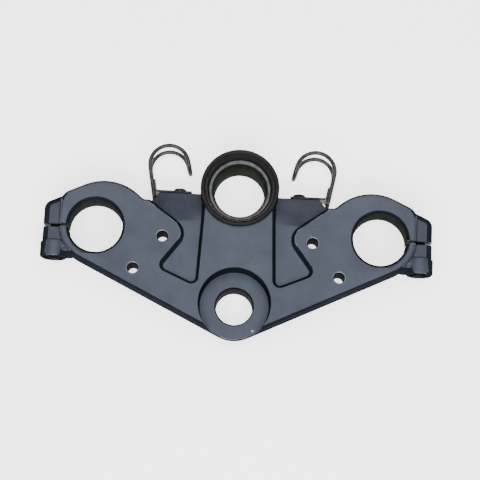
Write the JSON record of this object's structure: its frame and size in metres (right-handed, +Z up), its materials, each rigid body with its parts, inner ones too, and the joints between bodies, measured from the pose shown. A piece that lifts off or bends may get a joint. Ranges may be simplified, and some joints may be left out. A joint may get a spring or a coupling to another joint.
{
  "type": "motorcycle triple clamp",
  "caption": "Upper fork crown casting with split fork clamps, a stem boss, a lock collar and two bent wire cable guides.",
  "frame": {"origin": "bottom of the stem bore, on its axis", "axes": "+X to the rider's right, +Y forward toward the lock collar, +Z up along the stem bore"},
  "size_m": [0.299, 0.1512, 0.038],
  "materials": {
    "cast_paint": "satin dark slate paint over cast aluminium",
    "guide_steel": "dull dark grey steel wire",
    "bolt_steel": "black oxide"
  },
  "bodies": {
    "root": {"crown": "cast_paint", "guide_left": "guide_steel", "guide_right": "guide_steel", "guide_bolt_left": "bolt_steel", "guide_bolt_right": "bolt_steel", "pinch_bolt_left": "bolt_steel", "pinch_bolt_right": "bolt_steel"}
  },
  "joints": []
}
